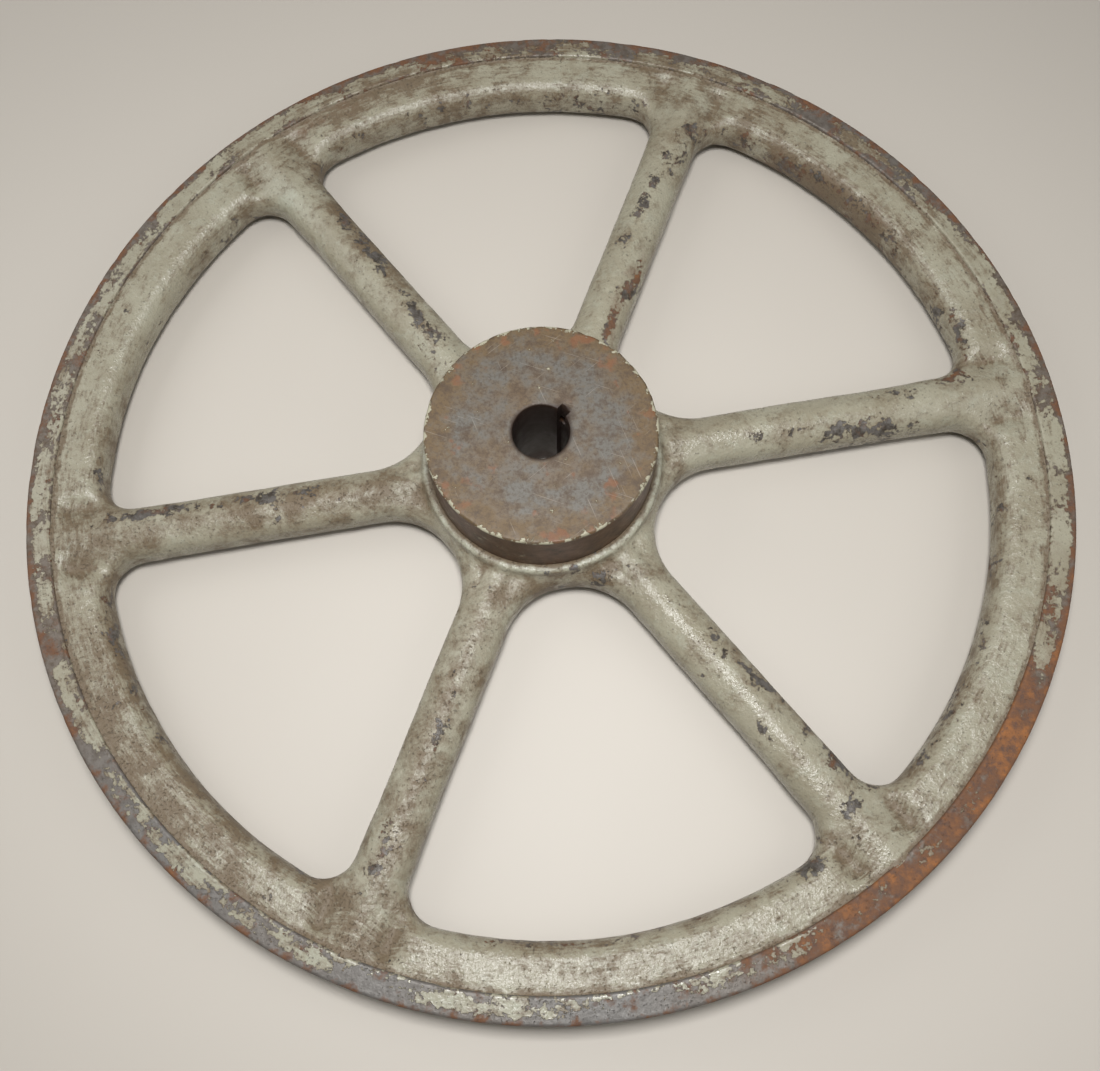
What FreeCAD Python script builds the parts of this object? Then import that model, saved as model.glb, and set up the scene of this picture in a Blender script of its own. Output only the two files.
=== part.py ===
import FreeCAD, Part
import math
import os
import Sketcher

# Cast-iron six-spoke flywheel of a pottery wheel, lying on its back face.
# Frame: +Z up along the shaft axis, origin on that axis in the plane of the back
# faces of the rim and hub, spoke_1 along +X.  Millimetres and degrees throughout.
# The rim, spokes and collar are one iron casting.  It is held here as touching
# pieces, so that the six windows between the spokes stay open to collision.

doc = FreeCAD.newDocument("flywheel")
V = FreeCAD.Vector

# ---------------------------------------------------------------- dimensions
DIMS = [
    ("wheel_radius", 304.8),     # 24 in diameter wheel
    ("rim_width", 34.9),         # axial width of the machined rim band, 1 3/8 in
    ("band_inner_radius", 290.5),
    ("band_break", 1.2),         # broken edges of the turned band
    ("valley_drop", 4.0),        # web surface below the band faces
    ("valley_radius", 285.5),    # shallow trough round the web, just inside the band
    ("valley_section", 10.0),
    ("valley_depth", 1.8),
    ("window_radius", 265.2),    # outer arc of the windows
    ("window_corner", 23.0),     # fillet in plan where a spoke meets the rim
    ("window_root", 42.7),       # arc in plan between two spokes at the hub
    ("edge_round", 12.5),        # roundover of every window edge
    ("spoke_count", 6),
    ("spoke_width", 30.5),
    ("crest_width", 28.6),       # oval bar that gives each spoke its raised crest
    ("crest_height", 30.6),
    ("crest_reach", 283.0),      # where the crest fades out on the rim web
    ("crest_round", 9.0),
    ("rim_cut_radius", 262.0),   # where the rim web hands over to the spokes
    ("collar_radius", 84.0),     # where the collar hands over to the spokes
    ("lip_radius", 70.0),        # raised lip of the collar round the barrel
    ("lip_top", 37.1),
    ("lip_base", 26.0),
    ("lip_round", 2.5),
    ("hub_radius", 65.0),
    ("hub_length", 76.2),        # 3 in through the bore
    ("hub_break", 1.6),
    ("bore_radius", 15.875),     # 1 1/4 in shaft
    ("bore_break", 1.0),
    ("key_width", 6.35),         # 1/4 in square key
    ("key_depth", 3.2),
    ("key_angle", 35.5),         # from spoke_1, towards spoke_2
    ("screw_height", 58.0),
    ("screw_hole_radius", 4.80),
    ("screw_radius", 4.74),
    ("screw_inner", 22.5),       # point of the screw, backed off from the key
    ("screw_length", 38.0),
    ("screw_point", 1.6),
    ("slot_width", 1.8),
    ("slot_depth", 2.4),
]

sheet = doc.addObject("Spreadsheet::Sheet", "dims")
for row, (alias, value) in enumerate(DIMS, start=1):
    sheet.set("A%d" % row, alias)
    sheet.set("B%d" % row, str(value))
    sheet.setAlias("B%d" % row, alias)
doc.recompute()


def size(alias):
    """The sheet's value for one alias."""
    return float(sheet.get(alias))


# ------------------------------------------------------------------- helpers
def new_body(label):
    body = doc.addObject("PartDesign::Body", label)
    body.Label = label
    return body


def origin_feature(body, role):
    """One of the body's own origin planes or axes, found by its role."""
    for feature in body.Origin.OriginFeatures:
        if feature.Role == role:
            return feature
    raise RuntimeError("no origin feature " + role)


def new_sketch(body, name, plane="XY_Plane", lift=None):
    """A sketch on one of the body's planes, lifted along its normal by a sheet expression."""
    sketch = body.newObject("Sketcher::SketchObject", name)
    sketch.AttachmentSupport = [(origin_feature(body, plane), "")]
    sketch.MapMode = "FlatFace"
    if lift:
        sketch.setExpression("AttachmentOffset.Base.z", lift + " * 1mm")
    return sketch


def drive(sketch, constraint, expression, unit="mm"):
    """Add one dimension to a sketch and bind it to the sheet."""
    index = sketch.addConstraint(constraint)
    sketch.setExpression("Constraints[%d]" % index, "(%s) * 1%s" % (expression, unit))
    return index


def add_circle(sketch, alias):
    """A circle about the origin with a radius from the sheet."""
    circle = sketch.addGeometry(Part.Circle(V(0, 0, 0), V(0, 0, 1), size(alias)))
    sketch.addConstraint(Sketcher.Constraint("Coincident", circle, 3, -1, 1))
    drive(sketch, Sketcher.Constraint("Radius", circle, size(alias)), "dims." + alias)
    return circle


def add_rectangle(sketch, low, high, drives):
    """A rectangle between two corners; drives gives its four side positions.

    Args:
        low: (x, y) of the lower left corner.
        high: (x, y) of the upper right corner.
        drives: expressions for left x, low y, right x and high y.
    """
    corners = [V(low[0], low[1], 0), V(high[0], low[1], 0), V(high[0], high[1], 0), V(low[0], high[1], 0)]
    first = None
    for index in range(4):
        line = sketch.addGeometry(Part.LineSegment(corners[index], corners[(index + 1) % 4]))
        first = line if first is None else first
    for index in range(4):
        sketch.addConstraint(
            Sketcher.Constraint("Coincident", first + index, 2, first + (index + 1) % 4, 1))
        kind = "Horizontal" if index % 2 == 0 else "Vertical"
        sketch.addConstraint(Sketcher.Constraint(kind, first + index))
    drive(sketch, Sketcher.Constraint("DistanceX", -1, 1, first, 1, low[0]), drives[0])
    drive(sketch, Sketcher.Constraint("DistanceY", -1, 1, first, 1, low[1]), drives[1])
    drive(sketch, Sketcher.Constraint("DistanceX", -1, 1, first + 1, 2, high[0]), drives[2])
    drive(sketch, Sketcher.Constraint("DistanceY", -1, 1, first + 1, 2, high[1]), drives[3])


def pad(body, name, sketch, expression, reversed_side=False):
    feature = body.newObject("PartDesign::Pad", name)
    feature.Profile = sketch
    feature.Reversed = reversed_side
    feature.setExpression("Length", "(%s) * 1mm" % expression)
    doc.recompute()
    return feature


def pocket(body, name, sketch, expression, both_ways=False, reversed_side=False):
    """Cut a sketch out of the body and make sure that it removed material."""
    before = body.Shape.Volume
    feature = body.newObject("PartDesign::Pocket", name)
    feature.Profile = sketch
    feature.Midplane = both_ways
    feature.Reversed = reversed_side
    feature.setExpression("Length", "(%s) * 1mm" % expression)
    doc.recompute()
    if body.Shape.Volume > before - 1.0:
        raise RuntimeError(name + " cut nothing")
    return feature


def polar(body, name, source, count="dims.spoke_count"):
    """Repeat one feature round the body's Z axis."""
    feature = body.newObject("PartDesign::PolarPattern", name)
    feature.Originals = [source]
    feature.Axis = (origin_feature(body, "Z_Axis"), [""])
    feature.Angle = 360.0
    feature.setExpression("Occurrences", count)
    body.Tip = feature
    doc.recompute()
    return feature


def edges_where(shape, test):
    """Names of the edges of a shape that pass a test."""
    return ["Edge%d" % (index + 1) for index, edge in enumerate(shape.Edges) if test(edge)]


def round_edges(body, name, base, test, expression, kind="PartDesign::Fillet"):
    """Fillet or chamfer the chosen edges of a feature."""
    names = edges_where(base.Shape, test)
    feature = body.newObject(kind, name)
    feature.Base = (base, names)
    key = "Radius" if kind.endswith("Fillet") else "Size"
    feature.setExpression(key, expression + " * 1mm")
    doc.recompute()
    if not names or not feature.Shape.isValid():
        raise RuntimeError(name + " found no sound edges")
    return feature


def boolean(kind, name, base, tool):
    feature = doc.addObject(kind, name)
    feature.Base = base
    feature.Tool = tool
    doc.recompute()
    return feature


def tube_tool(name, inner, outer):
    """A tall ring about the shaft axis between two sheet radii, used to divide the casting."""
    parts = []
    for tag, alias in (("outer", outer), ("inner", inner)):
        if alias is None:
            continue
        cylinder = doc.addObject("Part::Cylinder", name + "_" + tag)
        cylinder.setExpression("Radius", "dims.%s * 1mm" % alias)
        cylinder.setExpression("Height", "dims.hub_length * 3mm")
        cylinder.setExpression("Placement.Base.z", "-dims.hub_length * 1mm")
        parts.append(cylinder)
    doc.recompute()
    if len(parts) == 1:
        return parts[0]
    return boolean("Part::Cut", name, parts[0], parts[1])


# --------------------------------------------- casting: web plate with windows
plate = new_body("casting_plate")
plate_sketch = new_sketch(plate, "plate_outline", lift="dims.valley_drop")
add_circle(plate_sketch, "band_inner_radius")
plate_pad = pad(plate, "plate_pad", plate_sketch, "dims.rim_width - 2 * dims.valley_drop")


def window_outline(sketch):
    """One window, centred on +Y, between the spokes that lie 30 degrees either side.

    Two straight sides run parallel to the spokes, a wide arc follows the rim, small arcs round
    the two rim corners and one arc closes the narrow end at the hub.
    """
    half = size("spoke_width") / 2
    outer = size("window_radius")
    corner = size("window_corner")
    root = size("window_root")
    angle = math.radians(90 - 180 / size("spoke_count"))
    along = V(math.cos(angle), math.sin(angle), 0)
    across = V(-math.sin(angle), math.cos(angle), 0)
    root_y = (root + half) / math.cos(angle)
    corner_along = math.sqrt((outer - corner) ** 2 - (half + corner) ** 2)
    corner_centre = along * corner_along + across * (half + corner)
    corner_bearing = math.atan2(corner_centre.y, corner_centre.x)
    normal = V(0, 0, 1)

    def mirrored(point):
        return V(-point.x, point.y, 0)

    low = along * (root_y * math.sin(angle)) + across * half
    high = along * corner_along + across * half
    side_bearing = angle - math.pi / 2
    rim_arc = sketch.addGeometry(Part.ArcOfCircle(
        Part.Circle(V(0, 0, 0), normal, outer), corner_bearing, math.pi - corner_bearing))
    right_corner = sketch.addGeometry(Part.ArcOfCircle(
        Part.Circle(corner_centre, normal, corner), side_bearing, corner_bearing))
    right_side = sketch.addGeometry(Part.LineSegment(low, high))
    root_arc = sketch.addGeometry(Part.ArcOfCircle(
        Part.Circle(V(0, root_y, 0), normal, root), math.pi - side_bearing, 2 * math.pi + side_bearing))
    left_side = sketch.addGeometry(Part.LineSegment(mirrored(low), mirrored(high)))
    left_corner = sketch.addGeometry(Part.ArcOfCircle(
        Part.Circle(mirrored(corner_centre), normal, corner),
        math.pi - corner_bearing, math.pi - side_bearing))
    joins = [
        (rim_arc, 1, right_corner, 2),
        (right_corner, 1, right_side, 2),
        (right_side, 1, root_arc, 2),
        (root_arc, 1, left_side, 1),
        (left_side, 2, left_corner, 2),
        (left_corner, 1, rim_arc, 2),
    ]
    for join in joins:
        sketch.addConstraint(Sketcher.Constraint("Tangent", *join))
    sketch.addConstraint(Sketcher.Constraint("Coincident", rim_arc, 3, -1, 1))
    sketch.addConstraint(Sketcher.Constraint("Equal", right_corner, left_corner))
    drive(sketch, Sketcher.Constraint("Radius", rim_arc, outer), "dims.window_radius")
    drive(sketch, Sketcher.Constraint("Radius", right_corner, corner), "dims.window_corner")
    drive(sketch, Sketcher.Constraint("Radius", root_arc, root), "dims.window_root")
    drive(sketch, Sketcher.Constraint("Distance", -1, 1, right_side, half), "dims.spoke_width / 2")
    drive(sketch, Sketcher.Constraint("Distance", -1, 1, left_side, half), "dims.spoke_width / 2")
    drive(sketch, Sketcher.Constraint("Angle", right_side, angle),
          "90 - 180 / dims.spoke_count", "deg")
    drive(sketch, Sketcher.Constraint("Angle", left_side, math.pi - angle),
          "90 + 180 / dims.spoke_count", "deg")


window_sketch = new_sketch(plate, "window_outline")
window_outline(window_sketch)
window_cut = pocket(plate, "window_cut", window_sketch, "dims.rim_width * 4", both_ways=True)
windows = polar(plate, "windows", window_cut)

plate_top = size("rim_width") - size("valley_drop")
plate_bottom = size("valley_drop")


def is_window_rim(edge):
    """True for an edge of a window on the top or bottom face of the web plate."""
    box = edge.BoundBox
    flat = box.ZLength < 1e-6
    on_face = min(abs(box.ZMin - plate_top), abs(box.ZMin - plate_bottom)) < 1e-4
    reach = max(math.hypot(v.X, v.Y) for v in edge.Vertexes)
    return flat and on_face and reach < size("band_inner_radius") - 5


plate_rounds = round_edges(plate, "window_roundover", windows, is_window_rim, "dims.edge_round")

# --------------------------------------- casting: oval crests along the spokes
crests = new_body("casting_crests")
crest_sketch = new_sketch(crests, "crest_section", "YZ_Plane")
half_width = size("crest_width") / 2
half_height = size("crest_height") / 2
mid_height = size("rim_width") / 2
crest_sketch.addGeometry(Part.Ellipse(
    V(0, mid_height + half_height, 0), V(half_width, mid_height, 0), V(0, mid_height, 0)))
crest_sketch.exposeInternalGeometry(0)
# The exposed geometry is the long axis (1), the short axis (2) and the two foci.
crest_sketch.addConstraint(Sketcher.Constraint("PointOnObject", 0, 3, -2))
crest_sketch.addConstraint(Sketcher.Constraint("Vertical", 1))
drive(crest_sketch, Sketcher.Constraint("DistanceY", -1, 1, 0, 3, mid_height), "dims.rim_width / 2")
drive(crest_sketch, Sketcher.Constraint("Distance", 1, 2 * half_height), "dims.crest_height")
drive(crest_sketch, Sketcher.Constraint("Distance", 2, 2 * half_width), "dims.crest_width")
crest_pad = pad(crests, "crest_pad", crest_sketch, "dims.crest_reach")
crest_ring = polar(crests, "crest_ring", crest_pad)


def is_crest_end(edge):
    """True for the closed oval edge at the rim end of a crest."""
    reach = min(math.hypot(v.X, v.Y) for v in edge.Vertexes)
    return edge.isClosed() and reach > size("crest_reach") - 1


crest_rounds = round_edges(crests, "crest_fade", crest_ring, is_crest_end, "dims.crest_round")

# ------------------------------------------ casting: raised lip of the collar
lip = new_body("casting_lip")
lip_sketch = new_sketch(lip, "lip_outline", lift="dims.lip_base")
add_circle(lip_sketch, "lip_radius")
lip_pad = pad(lip, "lip_pad", lip_sketch, "dims.lip_top - dims.lip_base")
lip_round = round_edges(
    lip, "lip_round", lip_pad,
    lambda edge: edge.isClosed() and edge.BoundBox.ZLength < 1e-6
    and edge.BoundBox.ZMin > size("lip_top") - 1e-3,
    "dims.lip_round")

# ------------------------------- casting: shallow trough of the web, both faces
troughs = []
for side, name in ((1, "trough_top"), (-1, "trough_bottom")):
    ring = doc.addObject("Part::Torus", name)
    ring.setExpression("Radius1", "dims.valley_radius * 1mm")
    ring.setExpression("Radius2", "dims.valley_section * 1mm")
    lift = "(dims.rim_width / 2 - dims.valley_drop + dims.valley_section - dims.valley_depth)"
    ring.setExpression("Placement.Base.z", "(dims.rim_width / 2 + %d * %s) * 1mm" % (side, lift))
    troughs.append(ring)
trough_pair = doc.addObject("Part::MultiFuse", "trough_pair")
trough_pair.Shapes = troughs
doc.recompute()
dished_plate = boolean("Part::Cut", "dished_plate", plate, trough_pair)

casting = doc.addObject("Part::MultiFuse", "casting")
casting.Shapes = [dished_plate, crests, lip]
casting.Refine = True
doc.recompute()

# --------------------------------------------- the casting as separate pieces
nodes = []


def keep(feature, label):
    """Name a finished piece and queue it for export."""
    feature.Label = label
    nodes.append(feature)
    return feature


rim_zone = tube_tool("rim_zone", "rim_cut_radius", "wheel_radius")
keep(boolean("Part::Common", "web_piece", casting, rim_zone), "rim_web")

spoke_ring = boolean("Part::Common", "spoke_ring", casting,
                     tube_tool("spoke_zone", "collar_radius", "rim_cut_radius"))
for index in range(int(size("spoke_count"))):
    zone = doc.addObject("Part::Box", "spoke_zone_%d" % (index + 1))
    zone.setExpression("Length", "dims.wheel_radius * 1mm")
    zone.setExpression("Width", "dims.collar_radius * 1mm")
    zone.setExpression("Height", "dims.hub_length * 2mm")
    bearing = 360.0 * index / size("spoke_count")
    turn = FreeCAD.Rotation(V(0, 0, 1), bearing)
    corner = turn.multVec(V(0, -size("collar_radius") / 2, -size("hub_length") / 2))
    zone.Placement = FreeCAD.Placement(corner, turn)
    keep(boolean("Part::Common", "spoke_piece_%d" % (index + 1), spoke_ring, zone),
         "spoke_%d" % (index + 1))

collar_zone = tube_tool("collar_zone", "hub_radius", "collar_radius")
keep(boolean("Part::Common", "collar_piece", casting, collar_zone), "hub_collar")

# --------------------------------------------------- the turned band of the rim
band = new_body("rim_band")
band_sketch = new_sketch(band, "band_outline")
add_circle(band_sketch, "wheel_radius")
add_circle(band_sketch, "band_inner_radius")
band_pad = pad(band, "band_pad", band_sketch, "dims.rim_width")
round_edges(
    band, "band_edges", band_pad, lambda edge: edge.isClosed() and edge.BoundBox.ZLength < 1e-6,
    "dims.band_break")
keep(band, "rim_band")

# ------------------------------------- the hub barrel, keyed bore and screw hole
barrel = new_body("hub_barrel")
barrel_sketch = new_sketch(barrel, "barrel_outline")
add_circle(barrel_sketch, "hub_radius")
add_circle(barrel_sketch, "bore_radius")
barrel_pad = pad(barrel, "barrel_pad", barrel_sketch, "dims.hub_length")
hub_edges = round_edges(
    barrel, "hub_edge", barrel_pad,
    lambda edge: edge.isClosed() and edge.BoundBox.ZLength < 1e-6
    and edge.BoundBox.XLength > 2 * size("hub_radius") - 1,
    "dims.hub_break", "PartDesign::Chamfer")
round_edges(
    barrel, "bore_edge", hub_edges,
    lambda edge: edge.isClosed() and edge.BoundBox.ZLength < 1e-6
    and edge.BoundBox.XLength < 2 * size("bore_radius") + 0.5,
    "dims.bore_break", "PartDesign::Chamfer")
key_sketch = new_sketch(barrel, "keyway_outline")
key_half = size("key_width") / 2
add_rectangle(
    key_sketch, (0, -key_half), (size("bore_radius") + size("key_depth"), key_half),
    ["0", "-dims.key_width / 2", "dims.bore_radius + dims.key_depth", "dims.key_width / 2"])
pocket(barrel, "keyway", key_sketch, "dims.hub_length * 4", both_ways=True)
hole_sketch = new_sketch(barrel, "screw_hole_outline", "YZ_Plane")
hole = hole_sketch.addGeometry(
    Part.Circle(V(0, size("screw_height"), 0), V(0, 0, 1), size("screw_hole_radius")))
hole_sketch.addConstraint(Sketcher.Constraint("PointOnObject", hole, 3, -2))
drive(hole_sketch, Sketcher.Constraint("DistanceY", -1, 1, hole, 3, size("screw_height")),
      "dims.screw_height")
drive(hole_sketch, Sketcher.Constraint("Radius", hole, size("screw_hole_radius")),
      "dims.screw_hole_radius")
pocket(barrel, "screw_hole", hole_sketch, "dims.hub_radius * 1.5", reversed_side=True)
barrel.setExpression("Placement.Rotation.Angle", "dims.key_angle * 1deg")
keep(barrel, "hub_barrel")

# ------------------------------------------------------- headless slotted screw
screw = new_body("set_screw")
screw_sketch = new_sketch(screw, "screw_outline", "YZ_Plane", lift="dims.screw_inner")
add_circle(screw_sketch, "screw_radius")
screw_pad = pad(screw, "screw_pad", screw_sketch, "dims.screw_length")
screw_ends = round_edges(
    screw, "screw_ends", screw_pad,
    lambda edge: edge.isClosed() and edge.BoundBox.XLength < 1e-6
    and edge.BoundBox.XMin < size("screw_inner") + 1,
    "dims.screw_point", "PartDesign::Chamfer")
slot_sketch = new_sketch(screw, "slot_outline", "YZ_Plane",
                         lift="(dims.screw_inner + dims.screw_length)")
slot_half = size("slot_width") / 2
reach = 2 * size("screw_radius")
add_rectangle(
    slot_sketch, (-reach, -slot_half), (reach, slot_half),
    ["-2 * dims.screw_radius", "-dims.slot_width / 2", "2 * dims.screw_radius", "dims.slot_width / 2"])
pocket(screw, "driver_slot", slot_sketch, "dims.slot_depth")
screw.setExpression("Placement.Base.z", "dims.screw_height * 1mm")
screw.setExpression("Placement.Rotation.Angle", "dims.key_angle * 1deg")
keep(screw, "set_screw")

# ------------------------------------------------------------- checks and export
doc.recompute()
for item in doc.Objects:
    if "Invalid" in item.State or "Error" in item.State:
        raise RuntimeError("%s did not compute: %s" % (item.Name, item.State))
os.makedirs("parts", exist_ok=True)
for node in nodes:
    shape = node.Shape
    if shape.isNull() or not shape.isValid() or len(shape.Solids) != 1:
        raise RuntimeError("%s is not one sound solid" % node.Label)
    shape.exportStep("parts/%s.step" % node.Label)
    print("%-12s %10.1f mm3  %s" % (node.Label, shape.Volume, shape.BoundBox))
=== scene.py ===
"""A loose cast-iron flywheel of a pottery wheel, lying on its back face.

The iron casting (rim web, spokes and collar) is grown as one smooth skin, the rim band and the hub
barrel are turned, and each surface gets worn machine enamel, bare iron, rust and grime, with painted
shade in places and a painted highlight on the collar lip.
"""
import logging
import math
from dataclasses import dataclass
from enum import Enum
from typing import NamedTuple

import bpy
import numpy as np
from mathutils import Euler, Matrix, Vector


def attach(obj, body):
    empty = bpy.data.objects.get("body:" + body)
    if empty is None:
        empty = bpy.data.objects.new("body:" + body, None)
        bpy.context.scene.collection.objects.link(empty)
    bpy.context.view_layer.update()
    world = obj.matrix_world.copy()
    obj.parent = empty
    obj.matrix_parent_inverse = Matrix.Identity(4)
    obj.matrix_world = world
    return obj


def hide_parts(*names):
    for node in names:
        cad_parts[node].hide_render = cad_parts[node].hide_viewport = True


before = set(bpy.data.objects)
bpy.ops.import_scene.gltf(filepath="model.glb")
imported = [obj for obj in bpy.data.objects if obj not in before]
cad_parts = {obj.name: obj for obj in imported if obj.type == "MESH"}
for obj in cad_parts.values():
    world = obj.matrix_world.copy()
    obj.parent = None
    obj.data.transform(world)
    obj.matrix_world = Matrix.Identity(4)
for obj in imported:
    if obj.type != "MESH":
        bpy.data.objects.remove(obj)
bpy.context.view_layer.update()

LOG = logging.getLogger("flywheel")
MM = 0.001


# --------------------------------------------------------------------------- small tools
def linear(hex_colour: str) -> tuple[float, float, float, float]:
    """Turn an sRGB hex colour into linear light.

    Args:
        hex_colour: a colour such as "#A0A08C".

    Returns:
        Red, green, blue and alpha for a shader socket.
    """
    channels = [int(hex_colour[i:i + 2], 16) / 255 for i in (1, 3, 5)]
    steps = [c / 12.92 if c <= 0.04045 else ((c + 0.055) / 1.055) ** 2.4 for c in channels]
    return (steps[0], steps[1], steps[2], 1.0)


def ramp(value: np.ndarray, low: float, high: float) -> np.ndarray:
    """Smooth step from 0 at low to 1 at high."""
    t = np.clip((value - low) / (high - low), 0.0, 1.0)
    return t * t * (3 - 2 * t)


def bell(value: np.ndarray, middle: float, width: float) -> np.ndarray:
    """Smooth hump of height 1 at the middle, fading over the width."""
    return np.exp(-((value - middle) / width) ** 2)


def blend_min(a: np.ndarray, b: np.ndarray, width: np.ndarray | float) -> np.ndarray:
    """Join two distance fields with a fillet of about the given width in millimetres."""
    h = np.maximum(width - np.abs(a - b), 0.0) / width
    return np.minimum(a, b) - h * h * width / 4


def rounded(one: np.ndarray, two: np.ndarray, radius: float) -> np.ndarray:
    """Signed distance to a rounded corner between two faces.

    Args:
        one: distance past the start of the round on the first face, mm.
        two: distance past the start of the round on the second face, mm.
        radius: radius of the round, mm.

    Returns:
        Distance in millimetres, negative inside.
    """
    beyond = np.hypot(np.maximum(one, 0), np.maximum(two, 0))
    return beyond + np.minimum(np.maximum(one, two), 0) - radius


class Lumps:
    """Smooth random lumps in space, the same on every run."""

    def __init__(self, seed: int, size: int = 24) -> None:
        """Draw the lattice of random heights."""
        self.size = size
        self.lattice = np.random.default_rng(seed).uniform(-1, 1, (size, size, size))

    def at(self, points: np.ndarray, pitch: float) -> np.ndarray:
        """Height between -1 and 1 at each point.

        Args:
            points: positions in millimetres, one per row.
            pitch: distance between lumps in millimetres.

        Returns:
            One height per point.
        """
        # the shift keeps every cell number positive
        scaled = points / pitch + 1000.0
        cell = np.floor(scaled).astype(int)
        part = scaled - cell
        part = part * part * (3 - 2 * part)
        total = np.zeros(len(points))
        for corner in range(8):
            step = np.array([corner & 1, corner >> 1 & 1, corner >> 2 & 1])
            weight = np.prod(np.where(step == 1, part, 1 - part), axis=1)
            i, j, k = ((cell + step) % self.size).T
            total += weight * self.lattice[i, j, k]
        return total


def new_piece(name: str, points: np.ndarray, faces: np.ndarray, replaces: list[str]) -> bpy.types.Object:
    """Make a smooth mesh object that rides on the wheel and stands for CAD nodes.

    Args:
        name: the piece's name.
        points: corner positions in millimetres.
        faces: four corner numbers per row.
        replaces: the CAD nodes it stands for.

    Returns:
        The new object.
    """
    mesh = bpy.data.meshes.new(name)
    mesh.vertices.add(len(points))
    mesh.vertices.foreach_set("co", (points * MM).astype(np.float32).ravel())
    mesh.loops.add(faces.size)
    mesh.loops.foreach_set("vertex_index", faces.ravel().astype(np.int32))
    mesh.polygons.add(len(faces))
    mesh.polygons.foreach_set("loop_start", np.arange(0, faces.size, 4, dtype=np.int32))
    mesh.update(calc_edges=True)
    mesh.validate()
    mesh.polygons.foreach_set("use_smooth", np.ones(len(mesh.polygons), bool))
    piece = bpy.data.objects.new(name, mesh)
    bpy.context.scene.collection.objects.link(piece)
    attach(piece, "wheel")
    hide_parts(*replaces)
    LOG.info("%s: %d corners, %d faces", name, len(points), len(faces))
    return piece


# --------------------------------------------------------------------------- weathering
class Mark(Enum):
    """What a scuff does to the surface."""

    PAINT_LOSS = "paint_loss"
    RUST = "rust"
    # dirt, and in some places painted shade
    GRIME_AND_SHADE = "grime"
    PALE = "pale"


def no_marks(points: np.ndarray) -> dict[Mark, np.ndarray]:
    """A clean sheet of wear: zero for every mark at every point."""
    return {kind: np.zeros(len(points)) for kind in Mark}


def write_marks(piece: bpy.types.Object, marks: dict[Mark, np.ndarray]) -> None:
    """Store per-corner wear values, some of them painted shade, on a mesh for its finish to read.

    Args:
        piece: the mesh object.
        marks: one value per corner for each mark.
    """
    for kind, values in marks.items():
        layer = piece.data.attributes.new(kind.value, "FLOAT", "POINT")
        layer.data.foreach_set("value", values.astype(np.float32))


@dataclass(frozen=True)
class Scuff:
    """One worn place on the wheel, in the wheel's own polar measure.

    Attributes:
        mark: what it does.
        bearing: degrees round from spoke 1.
        radius: distance from the shaft axis, mm.
        along: half length in the radial direction, mm.
        across: half width round the wheel, mm.
        amount: strength at its middle; negative keeps the paint.
    """

    mark: Mark
    bearing: float
    radius: float
    along: float
    across: float
    amount: float

    def strength(self, points: np.ndarray) -> np.ndarray:
        """Its effect at each point, strongest in the middle and fading outwards.

        Args:
            points: positions in millimetres, one per row.

        Returns:
            One amount per point.
        """
        turn = math.radians(self.bearing)
        out = points[:, 0] * math.cos(turn) + points[:, 1] * math.sin(turn) - self.radius
        side = points[:, 1] * math.cos(turn) - points[:, 0] * math.sin(turn)
        return self.amount * np.exp(-(out / self.along) ** 2 - (side / self.across) ** 2)


@dataclass(frozen=True)
class Stretch:
    """Weathering over a stretch of the rim band.

    Attributes:
        bearing: degrees round from spoke 1.
        spread: half width in degrees.
        bare: extra paint loss.
        rust: rust on the bare iron.
        grime: dirt.
        pale: pale thick paint where any is left.
    """

    bearing: float
    spread: float
    bare: float
    rust: float
    grime: float = 0.0
    pale: float = 0.0

    def weight(self, bearings: np.ndarray) -> np.ndarray:
        """How far each bearing lies within this stretch, 0 to 1."""
        off = (bearings - self.bearing + 180) % 360 - 180
        return np.exp(-(off / self.spread) ** 2)


BAND_STRETCHES = (
    Stretch(bearing=100, spread=16, bare=0.08, rust=0.10, grime=0.35),
    Stretch(bearing=68, spread=18, bare=0.085, rust=0.02, grime=0.40, pale=0.15),
    Stretch(bearing=36, spread=16, bare=0.12, rust=0.05, grime=0.40, pale=0.2),
    Stretch(bearing=2, spread=20, bare=0.09, rust=0.03, grime=-0.1),
    Stretch(bearing=-24, spread=8, bare=0.04, rust=0.08, grime=-0.1),
    Stretch(bearing=-42, spread=12, bare=0.21, rust=0.27),
    Stretch(bearing=-66, spread=13, bare=0.20, rust=0.20, pale=0.1),
    Stretch(bearing=-94, spread=14, bare=0.15, rust=-0.04, pale=0.45, grime=0.1),
    Stretch(bearing=-116, spread=8, bare=0.11, rust=-0.02, pale=0.3),
    Stretch(bearing=-140, spread=18, bare=0.125, rust=-0.02, grime=0.2, pale=0.4),
    Stretch(bearing=180, spread=22, bare=0.075, rust=0.03, grime=0.1),
    Stretch(bearing=140, spread=22, bare=0.075, rust=0.02, pale=0.1),
)

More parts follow.
